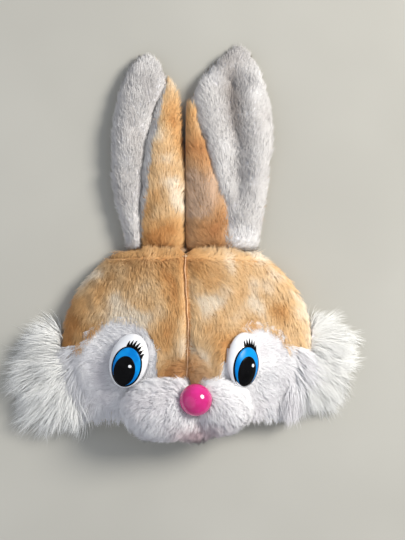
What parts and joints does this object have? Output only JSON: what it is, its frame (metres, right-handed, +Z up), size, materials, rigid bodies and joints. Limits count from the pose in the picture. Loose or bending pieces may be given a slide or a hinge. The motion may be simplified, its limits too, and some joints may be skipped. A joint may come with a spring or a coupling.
{
  "type": "animal ears headwear",
  "caption": "Soft plush bunny cap with a stuffed muzzle, moulded eyes and nose, long hinged ears and fluffy cheek tufts, lying flat with the face up.",
  "frame": {"origin": "centre of the hat's footprint, on the surface it lies on", "axes": "+Y from the brim towards the ear tips, +X to the right as the face is seen from above, +Z up out of the face"},
  "size_m": [0.3228, 0.381, 0.0815],
  "materials": {
    "tan_plush": "silky plush pile",
    "white_plush": "short white plush pile",
    "long_fur": "long fluffy faux fur",
    "knit_backing": "knitted fur backing",
    "stuffing": "polyester fibre filling",
    "foam": "thin foam interlining",
    "lining_cloth": "plain woven lining",
    "binding_tape": "woven bias tape",
    "eye_plastic": "glossy with a printed iris",
    "nose_plastic": "glossy",
    "washer_plastic": "moulded"
  },
  "bodies": {
    "cap": {"crown_panel_left": "tan_plush", "crown_panel_right": "tan_plush", "eye_patch_left": "white_plush", "eye_patch_right": "white_plush", "cheek_panel_left": "white_plush", "cheek_panel_right": "white_plush", "muzzle_backing": "white_plush", "muzzle_panel_left": "white_plush", "muzzle_panel_right": "white_plush", "chin_panel": "white_plush", "muzzle_stuffing_left": "stuffing", "muzzle_stuffing_right": "stuffing", "chin_stuffing": "stuffing", "back_panel_left": "tan_plush", "back_panel_right": "tan_plush", "front_foam": "foam", "front_lining": "lining_cloth", "back_lining": "lining_cloth", "brim_binding": "binding_tape", "eye_left": "eye_plastic", "eye_right": "eye_plastic", "nose": "nose_plastic", "eye_left_washer": "washer_plastic", "eye_right_washer": "washer_plastic", "nose_washer": "washer_plastic"},
    "ear_left": {"ear_left_back": "tan_plush", "ear_left_front": "white_plush", "ear_left_wadding": "stuffing"},
    "ear_right": {"ear_right_back": "tan_plush", "ear_right_front": "white_plush", "ear_right_wadding": "stuffing"},
    "cheek_left": {"cheek_tuft_left": "long_fur", "cheek_backing_left": "knit_backing"},
    "cheek_right": {"cheek_tuft_right": "long_fur", "cheek_backing_right": "knit_backing"}
  },
  "joints": [
    {"name": "ear_left_flop", "type": "hinge", "parent": "cap", "child": "ear_left", "pos_m": [-0.036, 0.006, 0.01], "axis": [1, 0, 0], "range_deg": [0, 90]},
    {"name": "ear_right_flop", "type": "hinge", "parent": "cap", "child": "ear_right", "pos_m": [0.035, 0.006, 0.01], "axis": [1, 0, 0], "range_deg": [0, 90]},
    {"name": "cheek_left_lift", "type": "hinge", "parent": "cap", "child": "cheek_left", "pos_m": [-0.105, -0.112, 0.018], "axis": [-0.1736, 0.9848, 0], "range_deg": [0, 30]},
    {"name": "cheek_right_lift", "type": "hinge", "parent": "cap", "child": "cheek_right", "pos_m": [0.105, -0.112, 0.018], "axis": [-0.1736, -0.9848, 0], "range_deg": [0, 30]}
  ]
}
